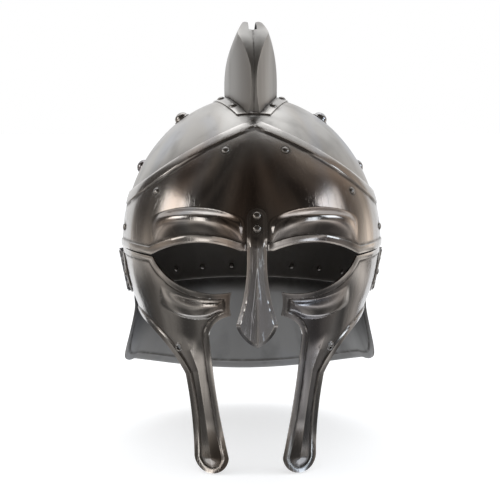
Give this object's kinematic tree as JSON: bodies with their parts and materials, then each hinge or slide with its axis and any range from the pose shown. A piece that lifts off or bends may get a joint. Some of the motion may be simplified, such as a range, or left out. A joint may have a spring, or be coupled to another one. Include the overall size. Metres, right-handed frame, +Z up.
{
  "type": "gladiator helmet",
  "caption": "Steel helmet with a hollow comb crest, brow plate with nasal bar, flared neck guard, riveted domed studs, leather liner and two cheek guards on side hinges.",
  "frame": {"origin": "centre of the head opening, level with the widest line of the bowl", "axes": "+Z up, -Y out of the face, +X towards the wearer's left"},
  "size_m": [0.239, 0.3084, 0.3792],
  "materials": {
    "polished_steel": "polished",
    "dull_steel": "satin",
    "hinge_steel": "satin",
    "rivet_steel": "satin",
    "liner_leather": "matte"
  },
  "bodies": {
    "helmet": {"skull_bowl": "polished_steel", "neck_guard": "dull_steel", "brow_plate": "polished_steel", "nasal_bar": "polished_steel", "crest_half_left": "polished_steel", "crest_half_right": "polished_steel", "crest_saddle": "polished_steel", "bowl_hinge_leaf_left": "hinge_steel", "bowl_hinge_leaf_right": "hinge_steel", "hinge_pin_left": "hinge_steel", "hinge_pin_right": "hinge_steel", "bowl_leaf_rivets_left": "rivet_steel", "bowl_leaf_rivets_right": "rivet_steel", "temple_rivets": "rivet_steel", "brow_rivets": "rivet_steel", "nasal_rivets": "rivet_steel", "neck_guard_rivets": "rivet_steel", "saddle_rivets": "rivet_steel", "liner_rivets": "rivet_steel", "strap_rivets": "rivet_steel", "crown_studs": "polished_steel", "liner_band": "liner_leather", "liner_strap_lengthwise": "liner_leather", "liner_strap_crosswise": "liner_leather"},
    "left_cheek": {"cheek_guard_left": "polished_steel", "cheek_hinge_leaf_left": "hinge_steel", "cheek_leaf_rivets_left": "rivet_steel"},
    "right_cheek": {"cheek_guard_right": "polished_steel", "cheek_hinge_leaf_right": "hinge_steel", "cheek_leaf_rivets_right": "rivet_steel"}
  },
  "joints": [
    {"name": "left_cheek_hinge", "type": "hinge", "parent": "helmet", "child": "left_cheek", "pos_m": [0.10915, 0, -0.044], "axis": [0.1965, 0, 0.9805], "range_deg": [0, 100]},
    {"name": "right_cheek_hinge", "type": "hinge", "parent": "helmet", "child": "right_cheek", "pos_m": [-0.10915, 0, -0.044], "axis": [0.1965, 0, -0.9805], "range_deg": [0, 100]}
  ]
}
